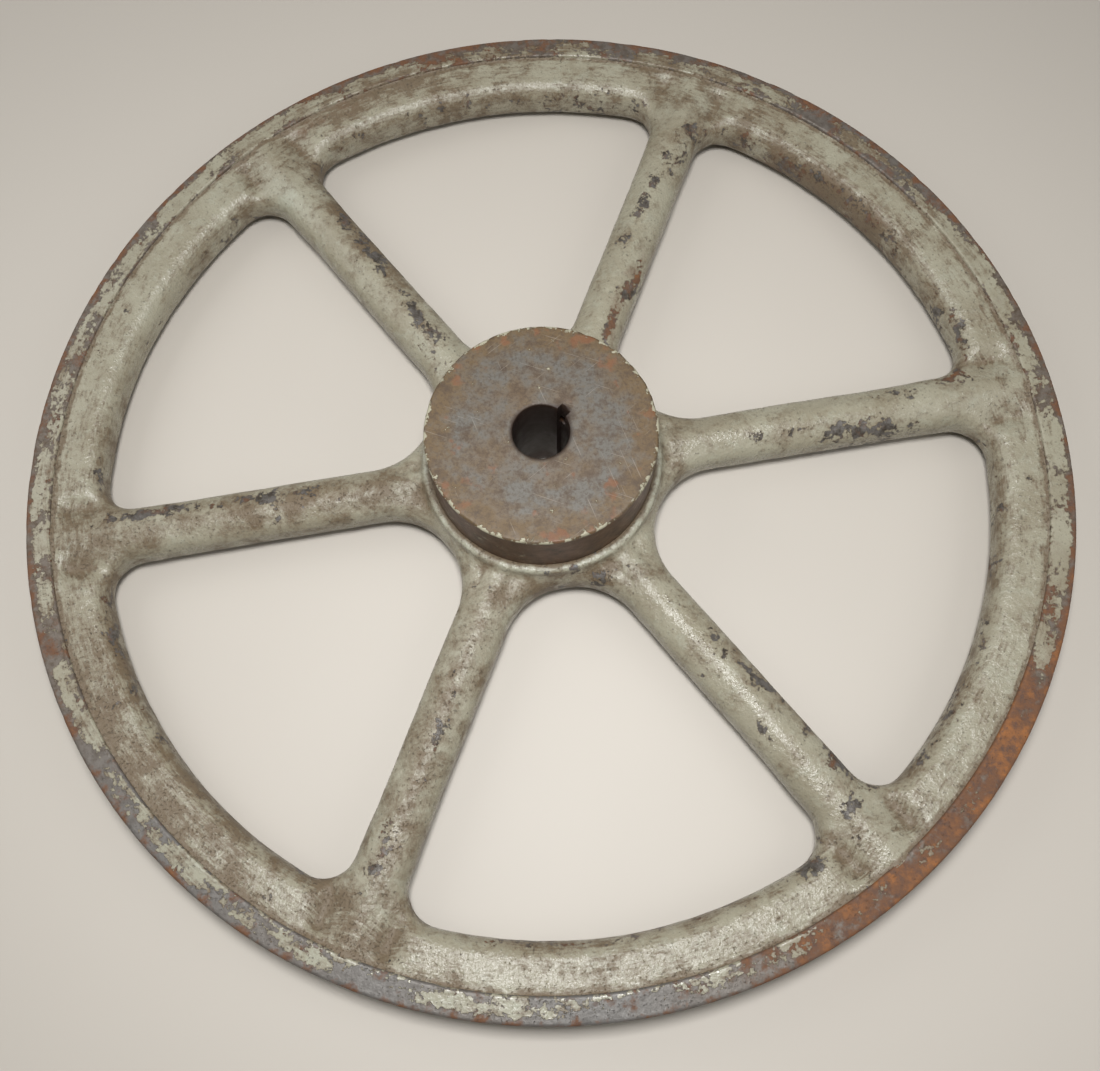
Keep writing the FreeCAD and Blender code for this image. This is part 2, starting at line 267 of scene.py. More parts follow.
CASTING_SCUFFS = (
    # spoke 1, to the right: grey chips along its lower edge and a brown patch by the rim
    Scuff(Mark.PAINT_LOSS, -3.5, 182, 44, 5, 0.13),
    Scuff(Mark.PAINT_LOSS, 1.5, 226, 26, 7, 0.115),
    Scuff(Mark.RUST, 3, 250, 18, 9, 0.18),
    Scuff(Mark.PAINT_LOSS, 3, 252, 14, 7, 0.10),
    # spoke 2: a rust streak down its right side and dark chips along the crest
    Scuff(Mark.PAINT_LOSS, 55.5, 118, 50, 5, 0.155),
    Scuff(Mark.RUST, 55.5, 120, 50, 7, 0.26),
    Scuff(Mark.PAINT_LOSS, 60, 196, 42, 5, 0.11),
    Scuff(Mark.PAINT_LOSS, 57.5, 246, 18, 9, 0.11),
    Scuff(Mark.GRIME_AND_SHADE, 57, 243, 20, 14, 0.35),
    # spoke 3: broken paint, and painted shade in brown down its upper side
    Scuff(Mark.PAINT_LOSS, 117.5, 185, 66, 6.5, 0.125),
    Scuff(Mark.PAINT_LOSS, 120, 112, 26, 7, 0.12),
    Scuff(Mark.GRIME_AND_SHADE, 116.5, 195, 80, 10, 0.60),
    Scuff(Mark.PAINT_LOSS, 122, 246, 14, 7, -0.20),
    Scuff(Mark.PALE, 122, 246, 16, 8, 0.5),
    # spoke 4, to the left: a long bare patch on its upper side and heavy dirt
    Scuff(Mark.PAINT_LOSS, 178.3, 240, 38, 5, 0.155),
    Scuff(Mark.PAINT_LOSS, 178, 165, 40, 6, 0.10),
    Scuff(Mark.GRIME_AND_SHADE, 181, 150, 90, 13, 0.52),
    Scuff(Mark.GRIME_AND_SHADE, 180, 265, 26, 22, 0.35),
    # spoke 5
    Scuff(Mark.GRIME_AND_SHADE, 241, 165, 80, 12, 0.44),
    Scuff(Mark.PAINT_LOSS, 241, 160, 50, 6, 0.12),
    Scuff(Mark.PAINT_LOSS, 239.5, 235, 24, 7, 0.11),
    Scuff(Mark.GRIME_AND_SHADE, 238, 262, 24, 26, 0.25),
    # spoke 6: painted shade down one side, chips by the rim
    Scuff(Mark.GRIME_AND_SHADE, 304, 175, 60, 5, 0.40),
    Scuff(Mark.PAINT_LOSS, 303.5, 178, 50, 4, 0.12),
    Scuff(Mark.PAINT_LOSS, 302.6, 238, 12, 8, 0.16),
    Scuff(Mark.PAINT_LOSS, 299.6, 257, 8, 8, 0.19),
    Scuff(Mark.PAINT_LOSS, 297.8, 196, 6, 4, 0.19),
    Scuff(Mark.PAINT_LOSS, 301, 145, 40, 8, 0.07),
    # the web
    Scuff(Mark.GRIME_AND_SHADE, 300, 276, 12, 30, 0.22),
    Scuff(Mark.GRIME_AND_SHADE, 268, 276, 14, 70, 0.10),
    Scuff(Mark.GRIME_AND_SHADE, 216, 278, 16, 75, 0.56),
    Scuff(Mark.GRIME_AND_SHADE, 197, 278, 18, 45, 0.40),
    Scuff(Mark.GRIME_AND_SHADE, 90, 280, 16, 60, 0.28),
    Scuff(Mark.GRIME_AND_SHADE, 60, 272, 16, 22, 0.18),
    Scuff(Mark.RUST, 37, 266, 9, 75, 0.10),
    Scuff(Mark.GRIME_AND_SHADE, 37, 266, 9, 80, 0.55),
    Scuff(Mark.PAINT_LOSS, 37, 265, 7, 66, 0.055),
    Scuff(Mark.PAINT_LOSS, 12, 270, 5, 34, 0.10),
    Scuff(Mark.GRIME_AND_SHADE, 66, 282, 12, 40, 0.16),
    Scuff(Mark.PAINT_LOSS, 292, 268, 8, 10, 0.14),
    Scuff(Mark.GRIME_AND_SHADE, 106, 284, 9, 50, 0.50),
    Scuff(Mark.RUST, 112, 286, 7, 40, 0.22),
    Scuff(Mark.GRIME_AND_SHADE, 165, 276, 14, 50, 0.22),
    Scuff(Mark.PAINT_LOSS, 150, 264, 9, 85, -0.07),
    Scuff(Mark.GRIME_AND_SHADE, 150, 264, 9, 85, -0.22),
    Scuff(Mark.GRIME_AND_SHADE, 241, 276, 14, 30, 0.25),
    Scuff(Mark.GRIME_AND_SHADE, 272, 76, 9, 50, 0.55),
    Scuff(Mark.PAINT_LOSS, 275, 78, 7, 30, 0.12),
    Scuff(Mark.GRIME_AND_SHADE, 345, 78, 9, 34, 0.30),
    Scuff(Mark.GRIME_AND_SHADE, 200, 82, 16, 26, 0.35),
)


# --------------------------------------------------------------------------- the casting
CELL_CORNERS = tuple((i, j, k) for i in (0, 1) for j in (0, 1) for k in (0, 1))


def crossing_middles(field: np.ndarray, cells: np.ndarray) -> np.ndarray:
    """Find where the skin passes through each cell of a lattice.

    Args:
        field: signed distance at each lattice point.
        cells: first lattice point of each cell on the skin.

    Returns:
        The mean of its edge crossings, as a share of the cell along x, y and z.
    """
    total = np.zeros((len(cells), 3))
    count = np.zeros(len(cells))
    for start in CELL_CORNERS:
        for axis in range(3):
            if start[axis]:
                continue
            end = tuple(s + (axis == n) for n, s in enumerate(start))
            a = field[tuple((cells + start).T)]
            b = field[tuple((cells + end).T)]
            crossed = (a < 0) != (b < 0)
            share = np.where(crossed, a / np.where(crossed, a - b, 1), 0)
            spot = np.repeat(np.array([start], float), len(cells), axis=0)
            spot[:, axis] += share
            total += spot * crossed[:, None]
            count += crossed
    return total / count[:, None]


def boundary_quads(iron: np.ndarray, number: np.ndarray) -> np.ndarray:
    """Join the cells round each lattice edge that leaves or enters the iron.

    Args:
        iron: true at each lattice point inside the iron.
        number: corner number of each cell on the skin.

    Returns:
        Four corner numbers per face, facing out.
    """
    faces = []
    for axis in range(3):
        one, two = [n for n in range(3) if n != axis]
        low = np.take(iron, range(iron.shape[axis] - 1), axis)
        high = np.take(iron, range(1, iron.shape[axis]), axis)
        edges = np.argwhere(low != high)
        edges = edges[(edges[:, one] > 0) & (edges[:, two] > 0)]
        leaving = low[tuple(edges.T)]
        ring = []
        for back_one, back_two in ((1, 1), (0, 1), (0, 0), (1, 0)):
            cell = edges.copy()
            cell[:, one] -= back_one
            cell[:, two] -= back_two
            ring.append(number[tuple(cell.T)])
        quad = np.stack(ring, axis=1)
        swap = leaving if axis == 1 else ~leaving
        quad[swap] = quad[swap][:, ::-1]
        faces.append(quad)
    return np.concatenate(faces)


@dataclass
class Casting:
    """Rim web, six spokes and collar: one pour of iron.

    All sizes are in millimetres. A pair holds the radii over which something grows or fades.
    """

    spokes: int = 6
    rim_width: float = 34.9
    # the windows between the spokes
    window_radius: float = 265.2
    window_corner: float = 23.0
    window_root: float = 42.7
    half_spoke: float = 15.25
    edge_round: float = 9.0
    wall_draft: float = 0.05
    # the web, rising from the windows to a fine groove and a step beside the band
    web_half: float = 12.7
    web_rise: float = 2.9
    web_slope: tuple[float, float] = (262.0, 290.0)
    groove_depth: float = 0.5
    groove_radius: float = 289.3
    groove_width: float = 1.2
    band_step: float = 1.2
    step_span: tuple[float, float] = (289.6, 292.0)
    outer: float = 292.2
    # the hollow on the web on each side of a spoke's root
    hollow_depth: float = 4.4
    hollow_offset: float = 19.0
    hollow_width: float = 6.2
    hollow_start: tuple[float, float] = (256.0, 271.0)
    hollow_end: tuple[float, float] = (282.0, 290.0)
    # the oval crest of a spoke, narrower and slightly taller where it runs onto the web
    crest_half_width: float = 14.5
    crest_half_height: float = 15.3
    crest_taper: float = 4.0
    taper_span: tuple[float, float] = (232.0, 280.0)
    crest_lift: float = 0.5
    lift_span: tuple[float, float] = (240.0, 285.0)
    crest_fillet: float = 0.8
    root_fillet: float = 4.2
    fillet_span: tuple[float, float] = (205.0, 250.0)
    # the raised lip of the collar round the barrel
    inner: float = 64.0
    lip_radius: float = 70.0
    lip_top: float = 37.1
    lip_foot: float = 8.0
    lip_round: float = 1.8
    lip_fillet: float = 6.0
    # the unevenness of a sand casting
    swell_mm: float = 34.0
    swell_height: float = 0.30
    bump_mm: float = 9.0
    bump_height: float = 0.16
    lowest: float = 1.2
    highest: float = 38.0
    # spacing of the lattice that the skin is grown on
    pitch: float = 1.5

    def window_depth(self, x: np.ndarray, y: np.ndarray) -> tuple[np.ndarray, ...]:
        """Distance into the nearest window, in plan.

        Args:
            x: positions along +X.
            y: positions along +Y.

        Returns:
            Depth into the window (negative inside the iron), radius, distance along the nearest
            spoke and distance from its centre line.
        """
        step = math.tau / self.spokes
        radius = np.hypot(x, y)
        near = np.abs((np.arctan2(y, x) + step / 2) % step - step / 2)
        along = radius * np.cos(near)
        across = radius * np.sin(near)
        side = across - self.half_spoke
        rim = self.window_radius - radius
        corner = self.window_corner
        rounded = corner - np.hypot(np.maximum(corner - side, 0), np.maximum(corner - rim, 0))
        depth = np.where((side > corner) & (rim > corner), np.minimum(side, rim), rounded)
        centre = (self.window_root + self.half_spoke) / math.sin(step / 2)
        towards = radius * np.cos(step / 2 - near) - centre
        sideways = radius * np.sin(step / 2 - near)
        root = self.window_root - np.hypot(towards, sideways)
        depth = np.where(along < centre * math.cos(step / 2), root, depth)
        return depth, radius, along, across

    def root_hollow(self, radius: np.ndarray, across: np.ndarray) -> np.ndarray:
        """Share of the hollow beside each spoke's root on the web, 0 to 1."""
        beside = bell(across, self.hollow_offset, self.hollow_width)
        return beside * ramp(radius, *self.hollow_start) * (1 - ramp(radius, *self.hollow_end))

    def web(self, depth: np.ndarray, radius: np.ndarray, across: np.ndarray,
            height: np.ndarray) -> np.ndarray:
        """Signed distance to the plate of the web with its rounded window edges.

        Args:
            depth: depth into the nearest window.
            radius: distance from the shaft axis.
            across: distance from the nearest spoke's centre line.
            height: distance above or below the middle of the rim.

        Returns:
            Distance in millimetres, negative inside the iron.
        """
        low, high = self.web_slope
        half = self.web_half + self.web_rise * np.clip((radius - low) / (high - low), 0, 1)
        half = half + self.band_step * ramp(radius, *self.step_span)
        half = half - self.groove_depth * bell(radius, self.groove_radius, self.groove_width)
        half = half - self.hollow_depth * self.root_hollow(radius, across)
        inside = -depth - self.wall_draft * height
        return rounded(self.edge_round - inside, height - (half - self.edge_round), self.edge_round)

    def crest(self, along: np.ndarray, across: np.ndarray, height: np.ndarray) -> np.ndarray:
        """Signed distance to the oval crest of the nearest spoke.

        Args:
            along: distance along the spoke.
            across: distance from its centre line.
            height: distance above or below the middle of the rim.

        Returns:
            Distance in millimetres, negative inside the iron.
        """
        width = self.crest_half_width - self.crest_taper * ramp(along, *self.taper_span)
        tall = self.crest_half_height + self.crest_lift * ramp(along, *self.lift_span)
        return (np.hypot(across / width, height / tall) - 1.0) * width

    def lip(self, radius: np.ndarray, z: np.ndarray) -> np.ndarray:
        """Signed distance to the raised lip of the collar.

        Args:
            radius: distance from the shaft axis.
            z: height above the back face.

        Returns:
            Distance in millimetres, negative inside the iron.
        """
        middle = (self.lip_radius + self.inner) / 2
        out = np.abs(radius - middle) - (self.lip_radius - self.inner) / 2 + self.lip_round
        up = np.maximum(z - self.lip_top, self.lip_foot - z) + self.lip_round
        return rounded(out, up, self.lip_round)

    def distance(self, x: np.ndarray, y: np.ndarray, z: np.ndarray) -> np.ndarray:
        """Signed distance to the skin of the casting.

        Args:
            x: positions along +X.
            y: positions along +Y.
            z: positions along +Z.

        Returns:
            Distance in millimetres, negative inside the iron.
        """
        depth, radius, along, across = self.window_depth(x, y)
        height = np.abs(z - self.rim_width / 2)
        fillet = self.crest_fillet + self.root_fillet * ramp(along, *self.fillet_span)
        skin = blend_min(self.web(depth, radius, across, height),
                         self.crest(along, across, height), fillet)
        skin = blend_min(skin, self.lip(radius, z), self.lip_fillet)
        skin = np.maximum(skin, radius - self.outer)
        return np.maximum(skin, self.inner - radius)

    def slope(self, points: np.ndarray, step: float = 0.25) -> np.ndarray:
        """Direction out of the iron.

        Args:
            points: positions in millimetres, one per row.
            step: how far to look either way.

        Returns:
            One unit vector per point.
        """
        rows = []
        for axis in range(3):
            shift = np.zeros(3)
            shift[axis] = step
            rows.append(self.distance(*(points + shift).T) - self.distance(*(points - shift).T))
        out = np.stack(rows, axis=1)
        return out / np.maximum(np.linalg.norm(out, axis=1, keepdims=True), 1e-9)

    def sample(self) -> tuple[np.ndarray, np.ndarray]:
        """Measure the distance field on an even lattice.

        Returns:
            The lattice's first corner in millimetres, and the field by x, y and z.
        """
        reach = self.outer + 2 * self.pitch
        flat = np.arange(-reach, reach + self.pitch, self.pitch)
        up = np.arange(-1.0, self.lip_top + 2 * self.pitch, self.pitch)
        field = np.empty((len(flat), len(flat), len(up)), np.float32)
        plan_x, plan_y = np.meshgrid(flat, flat, indexing="ij")
        for level, z in enumerate(up):
            field[:, :, level] = self.distance(plan_x, plan_y, np.full_like(plan_x, z))
        return np.array([flat[0], flat[0], up[0]]), field

    def skin(self) -> tuple[np.ndarray, np.ndarray]:
        """Grow the skin as quads on the lattice, then settle it onto the true surface.

        Returns:
            Corner positions in millimetres and four corner numbers per face.
        """
        origin, field = self.sample()
        iron = field < 0
        filled = np.zeros(tuple(n - 1 for n in iron.shape), np.int8)
        for i, j, k in CELL_CORNERS:
            filled += iron[i:i + filled.shape[0], j:j + filled.shape[1], k:k + filled.shape[2]]
        cells = np.argwhere((filled > 0) & (filled < len(CELL_CORNERS)))
        number = np.full(filled.shape, -1, np.int32)
        number[tuple(cells.T)] = np.arange(len(cells))
        points = origin + self.pitch * (cells + crossing_middles(field, cells))
        for _ in range(3):
            off = self.distance(*points.T)
            points -= self.slope(points) * np.clip(off, -self.pitch, self.pitch)[:, None]
        return points, boundary_quads(iron, number)

    def build(self) -> bpy.types.Object:
        """Make the casting, with the slight unevenness of sand-cast iron, its wear marks, some painted
        shade and a painted highlight on the collar lip.

        Returns:
            The finished piece.
        """
        points, faces = self.skin()
        bend = self.bend(points)
        lumps = (self.swell_height * Lumps(seed=11).at(points, self.swell_mm)
                 + self.bump_height * Lumps(seed=12).at(points, self.bump_mm))
        points = points + self.slope(points) * lumps[:, None]
        points[:, 2] = np.clip(points[:, 2], self.lowest, self.highest)
        piece = new_piece(
            "iron_casting", points, faces,
            ["rim_web", "hub_collar"] + ["spoke_%d" % (n + 1) for n in range(self.spokes)])
        write_marks(piece, self.marks(points, bend))
        piece.data.materials.append(MachineEnamel().material())
        return piece

    def bend(self, points: np.ndarray, reach: float = 5.0) -> np.ndarray:
        """How far the skin bulges (above 0) or is hollow (below 0).

        Args:
            points: positions on the skin, in millimetres.
            reach: how far round each point to look.

        Returns:
            One value per point.
        """
        ways = np.vstack([np.eye(3), -np.eye(3)])
        return np.mean([self.distance(*(points + reach * way).T) for way in ways], axis=0) / reach

    def marks(self, points: np.ndarray, bend: np.ndarray) -> dict[Mark, np.ndarray]:
        """Wear at each corner: the scuffs above, dirt in hollows and rubbed high places, with painted
        shade round the barrel and along the band's groove and a painted highlight on the collar lip.

        Args:
            points: positions in millimetres, one per row.
            bend: how far the skin bulges at each.

        Returns:
            One value per corner for each mark.
        """
        depth, radius, _, across = self.window_depth(points[:, 0], points[:, 1])
        hollow = ramp(-bend, 0.0, 0.22)
        proud = ramp(bend, 0.10, 0.34)
        beside_spoke = self.root_hollow(radius, across)
        window_edge = bell(-depth, 1.0, 3.0) * ramp(radius, 250.0, 258.0)
        # pale paint and a painted highlight along the top edge of the collar lip
        lip = bell(radius, 68.5, 1.8) * ramp(points[:, 2], 34.0, 36.0)
        # dirt and painted shade along the groove beside the band
        band_groove_shade_and_dirt = bell(radius, 290.0, 1.8)
        # painted shade in the gap between the collar lip and the barrel
        barrel_gap_shade = bell(radius, 65.0, 1.8) * ramp(points[:, 2], 28.0, 34.0)
        marks = no_marks(points)
        marks[Mark.GRIME_AND_SHADE] += 0.28 * hollow + 0.70 * band_groove_shade_and_dirt + 0.9 * barrel_gap_shade + 0.20 * beside_spoke
        marks[Mark.GRIME_AND_SHADE] += 0.26 * window_edge
        marks[Mark.PALE] += 0.6 * lip
        marks[Mark.RUST] += 0.06 * window_edge
        marks[Mark.PAINT_LOSS] += 0.05 * proud + 0.075 * window_edge
        for scuff in CASTING_SCUFFS:
            marks[scuff.mark] += scuff.strength(points)
        return marks


# --------------------------------------------------------------------------- turned parts
def turned(profile: list[tuple[float, float]], bearings: np.ndarray) -> tuple[np.ndarray, np.ndarray]:
    """Sweep a closed profile round the shaft axis.

    Args:
        profile: (radius, height) pairs in millimetres, round the section.
        bearings: the angles of the sweep in radians, rising and closed.

    Returns:
        Points as rows of x, y and z, and quads as rows of corner numbers.
    """
    section = np.array(profile)
    points = np.empty((len(bearings), len(section), 3))
    points[:, :, 0] = np.cos(bearings)[:, None] * section[:, 0]
    points[:, :, 1] = np.sin(bearings)[:, None] * section[:, 0]
    points[:, :, 2] = section[:, 1]
    return points.reshape(-1, 3), lattice_faces(len(bearings), len(section))


def lattice_faces(turns: int, rows: int) -> np.ndarray:
    """Quads of a lattice that closes both round the axis and round its section.

    Args:
        turns: points round the axis.
        rows: points round the section.

    Returns:
        Four corner numbers per face.
    """
    i, j = np.meshgrid(np.arange(turns), np.arange(rows), indexing="ij")
    i_next, j_next = (i + 1) % turns, (j + 1) % rows
    quads = np.stack([i * rows + j, i_next * rows + j, i_next * rows + j_next, i * rows + j_next], -1)
    return quads.reshape(-1, 4)


def arc(centre: tuple[float, float], radius: float, start: float, end: float,
        steps: int) -> list[tuple[float, float]]:
    """Points along a small arc of a section.

    Args:
        centre: radius and height of its centre, mm.
        radius: its radius, mm.
        start: first angle in degrees.
        end: last angle in degrees.
        steps: how many points.

    Returns:
        (radius, height) pairs.
    """
    angles = np.radians(np.linspace(start, end, steps))
    return [(centre[0] + radius * math.cos(a), centre[1] + radius * math.sin(a)) for a in angles]


@dataclass
class RimBand:
    """The flat turned band and outer face of the rim. Sizes in millimetres."""

    outer: float = 304.8
    inner: float = 290.5
    width: float = 34.9
    outer_round: float = 1.6
    inner_round: float = 1.4
    ding_mm: float = 7.0
    ding_depth: float = 0.5
    turns: int = 900

    def section(self) -> list[tuple[float, float]]:
        """Draw the band's section.

        Returns:
            (radius, height) pairs, anticlockwise from the inner foot.
        """
        # the flat runs stop a little short of the rounds between them
        ro, ri, top = self.outer_round, self.inner_round, self.width
        points: list[tuple[float, float]] = []
        points += arc((self.inner + ri, ri), ri, 180, 270, 4)
        points += [(r, 0.0) for r in np.linspace(self.inner + 2.5, self.outer - 3, 6)]
        points += arc((self.outer - ro, ro), ro, 270, 360, 6)
        points += [(self.outer, z) for z in np.linspace(3.0, top - 3.0, 16)]
        points += arc((self.outer - ro, top - ro), ro, 0, 90, 6)
        points += [(r, top) for r in np.linspace(self.outer - 2.6, self.inner + 2.3, 10)]
        points += arc((self.inner + ri, top - ri), ri, 90, 180, 4)
        points += [(self.inner, z) for z in np.linspace(top - 2.3, 2.3, 14)]
        return points

    def build(self) -> bpy.types.Object:
        """Make the band with dinged edges and its stretches of weathering.

        Returns:
            The finished piece.
        """
        bearings = np.linspace(0, math.tau, self.turns, endpoint=False)
        points, faces = turned(self.section(), bearings)
        radius = np.hypot(points[:, 0], points[:, 1])
        out = points[:, :2] / radius[:, None]
        half = self.width / 2
        edge = bell(radius, self.outer, 2.0) * bell(np.abs(points[:, 2] - half), half, 2.0)
        dings = np.maximum(Lumps(seed=21).at(points, self.ding_mm) - 0.35, 0)
        waves = Lumps(seed=22).at(points, 60.0)
        points[:, :2] -= out * (self.ding_depth * dings * edge + 0.06 * (1 + waves))[:, None]
        points[:, 2] -= np.where(points[:, 2] > half, 1, -1) * self.ding_depth * dings * edge
        piece = new_piece("rim_band_iron", points, faces, ["rim_band"])
        write_marks(piece, self.marks(points, radius))
        piece.data.materials.append(MachineEnamel(
            name="machine_enamel_on_turned_band", cast=0.45, iron="#6E655C",
            iron_dark="#56493C", rust="#67462F", stretch=2.2).material())
        return piece

    def marks(self, points: np.ndarray, radius: np.ndarray) -> dict[Mark, np.ndarray]:
        """Wear at each corner of the band, most of it on the top and the outer edge.

        Args:
            points: positions in millimetres, one per row.
            radius: each one's distance from the shaft axis.

        Returns:
            One value per corner for each mark.
        """
        bearings = np.degrees(np.arctan2(points[:, 1], points[:, 0]))
        top = ramp(points[:, 2], self.width - 6, self.width - 1)
        side = 1 - top
        outer_edge = bell(radius, self.outer, 3.6)
        inner_edge = bell(radius, self.inner, 1.2)
        rough = 0.5 + 0.5 * Lumps(seed=23).at(points, 22.0)
        marks = no_marks(points)
        marks[Mark.PAINT_LOSS] += 0.02 + top * (0.17 * outer_edge + 0.07 * inner_edge * rough)
        marks[Mark.RUST] += 0.02 + 0.10 * outer_edge
        for stretch in BAND_STRETCHES:
            weight = stretch.weight(bearings)
            marks[Mark.PAINT_LOSS] += weight * stretch.bare * (0.35 + 0.65 * top)
            marks[Mark.RUST] += weight * stretch.rust
            marks[Mark.GRIME_AND_SHADE] += weight * stretch.grime
            marks[Mark.PALE] += weight * stretch.pale
        marks[Mark.RUST] += 0.04 * side
        marks[Mark.PAINT_LOSS] += 0.05 * side
        return marks


@dataclass
class HubBarrel:
    """The turned barrel with its keyed bore and screw hole. Sizes in millimetres."""

    radius: float = 65.0
    length: float = 76.2
    edge: float = 1.6
    bore: float = 15.875
    key_half: float = 3.175
    key_reach: float = 19.075
    key_bearing: float = 35.5
    bore_edge: float = 1.0
    screw_height: float = 58.0
    screw_hole: float = 4.8
    drill_length: float = 60.0
    ding_mm: float = 5.0
    ding_depth: float = 0.6
    corner_break: float = 1.1
    grease_thickness: float = 1.6
    turns: int = 480

    def offsets(self) -> np.ndarray:
        """Choose where the barrel's corners stand, close together at the edges of the keyway.

        Returns:
            Angles from the middle of the keyway, in radians.
        """
        angles = list(np.linspace(0, math.tau, self.turns, endpoint=False))
        wall_angle = math.asin(self.key_half / self.bore)
        floor_angle = math.atan2(self.key_half, self.key_reach)
        for side in (-1, 1):
            for angle in (wall_angle, floor_angle):
                angles += [(side * (angle + nudge)) % math.tau for nudge in (-0.002, 0.0, 0.002)]
        return np.unique(np.round(angles, 5))

    def bore_outline(self, offset: np.ndarray) -> np.ndarray:
        """Draw the keyed bore.

        Args:
            offset: angles from the middle of the keyway.

        Returns:
            The bore's radius at each angle.
        """
        off = np.abs((offset + math.pi) % math.tau - math.pi)
        floor = self.key_reach / np.maximum(np.cos(off), 0.2)
        wall = self.key_half / np.maximum(np.sin(off), 1e-6)
        slot = np.where(off < 0.3, np.minimum(floor, wall), 0)
        return np.maximum(self.bore, slot)

    def rows(self, outline: np.ndarray) -> list[tuple[np.ndarray, np.ndarray]]:
        """Draw the barrel's section at every angle.

        Args:
            outline: the bore's radius at each angle.

        Returns:
            (radius, height) of each row of corners, from the back of the bore round to its top.
        """
        inner_foot, top, e = outline + self.bore_edge, self.length, self.edge
        face_edge = self.radius - e
        flat = np.ones(len(outline))
        rows = [(inner_foot + (face_edge - inner_foot) * share, 0.0 * flat)
                for share in np.linspace(0, 1, 12)]
        outside = arc((face_edge, e), e, -70, -10, 4)
        outside += [(self.radius, z) for z in np.linspace(e + 0.4, top - e - 0.4, 30)]
        outside += arc((face_edge, top - e), e, 10, 80, 5)
        rows += [(r * flat, z * flat) for r, z in outside]
        rows += [(inner_foot + (face_edge - inner_foot) * share, top * flat)
                 for share in np.linspace(1, 0, 34)]
        rows.append((outline + 0.35, (top - 0.35) * flat))
        rows += [(outline, z * flat) for z in np.linspace(top - self.bore_edge, self.bore_edge, 24)]
        return rows

    def build(self) -> bpy.types.Object:
        """Make the barrel, its worn edge, keyway and screw hole.

        Returns:
            The finished piece.
        """
        key = math.radians(self.key_bearing)
        offsets = self.offsets()
        bearings = offsets + key
        rows = self.rows(self.bore_outline(offsets))
        points = np.stack([np.stack([r * np.cos(bearings), r * np.sin(bearings), z], -1)
                           for r, z in rows], axis=1).reshape(-1, 3)
        radius = np.hypot(points[:, 0], points[:, 1])
        rim = bell(radius, self.radius, 2.2) * bell(points[:, 2], self.length, 2.2)
        dings = np.maximum(Lumps(seed=31).at(points, self.ding_mm) - 0.2, 0)
        points[:, 2] -= self.ding_depth * dings * rim
        points[:, :2] *= (1 - 0.012 * dings * rim)[:, None]
        self.batter(points, radius, key)
        piece = new_piece("hub_barrel_iron", points, lattice_faces(len(offsets), len(rows)),
                          ["hub_barrel"])
        self.drill(piece, key)
        write_marks(piece, self.marks(piece, key))
        piece.data.set_sharp_from_angle(angle=math.radians(50))
        piece.data.materials.append(TurnedIron(self).material())
        return piece

    def marks(self, piece: bpy.types.Object, key: float) -> dict[Mark, np.ndarray]:
        """Old grease round the mouth of the bore and in the broken keyway; the ring also makes the whole
        bore wall near-black.

        Args:
            piece: the drilled barrel.
            key: bearing of the keyway in radians.

        Returns:
            The grime at each corner.
        """
        points = np.empty(len(piece.data.vertices) * 3)
        piece.data.vertices.foreach_get("co", points)
        points = points.reshape(-1, 3) / MM
        radius = np.hypot(points[:, 0], points[:, 1])
        off = (np.arctan2(points[:, 1], points[:, 0]) - key + math.pi) % math.tau - math.pi
        by_key = bell(off, 0.0, 0.26) * (1 - ramp(radius, 20.2, 22.5))
        ring = 1 - ramp(radius + 0.8 * Lumps(seed=34).at(points, 6.0), 16.6, 18.6)
        return {Mark.GRIME_AND_SHADE: np.clip(by_key + 0.75 * ring, 0, 1)}

    def batter(self, points: np.ndarray, radius: np.ndarray, key: float) -> None:
        """Break the keyway's upper corners and cake old grease round the foot of the bore.

        Args:
            points: positions in millimetres, changed in place.
            radius: each one's distance from the shaft axis.
            key: bearing of the keyway in radians.
        """
        off = (np.arctan2(points[:, 1], points[:, 0]) - key + math.pi) % math.tau - math.pi
        by_key = bell(off, 0.0, 0.30) * ramp(radius, 15.0, 17.0) * (1 - ramp(radius, 20.0, 25.0))
        by_top = ramp(points[:, 2], self.length - 6.0, self.length)
        broken = by_key * by_top * (self.corner_break + 1.3 * Lumps(seed=32).at(points, 3.0))
        in_bore = 1 - ramp(radius, 16.4, 17.5)
        thickness = self.grease_thickness + 0.6 * Lumps(seed=33).at(points, 4.0)
        caked = in_bore * (1 - ramp(points[:, 2], 2.0, 9.0)) * thickness
        points[:, :2] *= (1 + (broken - caked) / radius)[:, None]
        points[:, 2] -= 0.5 * broken * ramp(points[:, 2], self.length - 0.6, self.length)

    def drill(self, piece: bpy.types.Object, key: float) -> None:
        """Cut the screw hole through the wall over the keyway.

        Args:
            piece: the barrel.
            key: bearing of the keyway in radians.
        """
        bpy.ops.mesh.primitive_cylinder_add(vertices=48, radius=self.screw_hole * MM,
                                            depth=self.drill_length * MM, end_fill_type="NGON")
        drill = bpy.context.active_object
        middle = (self.bore + 2 + self.drill_length / 2) * MM
        drill.location = (middle * math.cos(key), middle * math.sin(key), self.screw_height * MM)
        drill.rotation_euler = Euler((0, math.pi / 2, key))
        cut = piece.modifiers.new("screw_hole", "BOOLEAN")
        cut.operation, cut.solver, cut.object = "DIFFERENCE", "EXACT", drill
        bpy.context.view_layer.update()
        drilled = piece.evaluated_get(bpy.context.evaluated_depsgraph_get())
        mesh = bpy.data.meshes.new_from_object(drilled)
        piece.modifiers.clear()
        piece.data = mesh
        bpy.data.objects.remove(drill)


# --------------------------------------------------------------------------- finishes
BLEND = {"output": 2, "data_type": "RGBA"}
ADD_SHARE = {"operation": "MULTIPLY_ADD"}
Socket = bpy.types.NodeSocket
Sockets = dict[str, Socket]


class Pattern(NamedTuple):
    """A noise pattern: size of its patches in millimetres, octaves, roughness and swirl."""

    size: float
    detail: float
    rough: float = 0.5
    swirl: float = 0.0


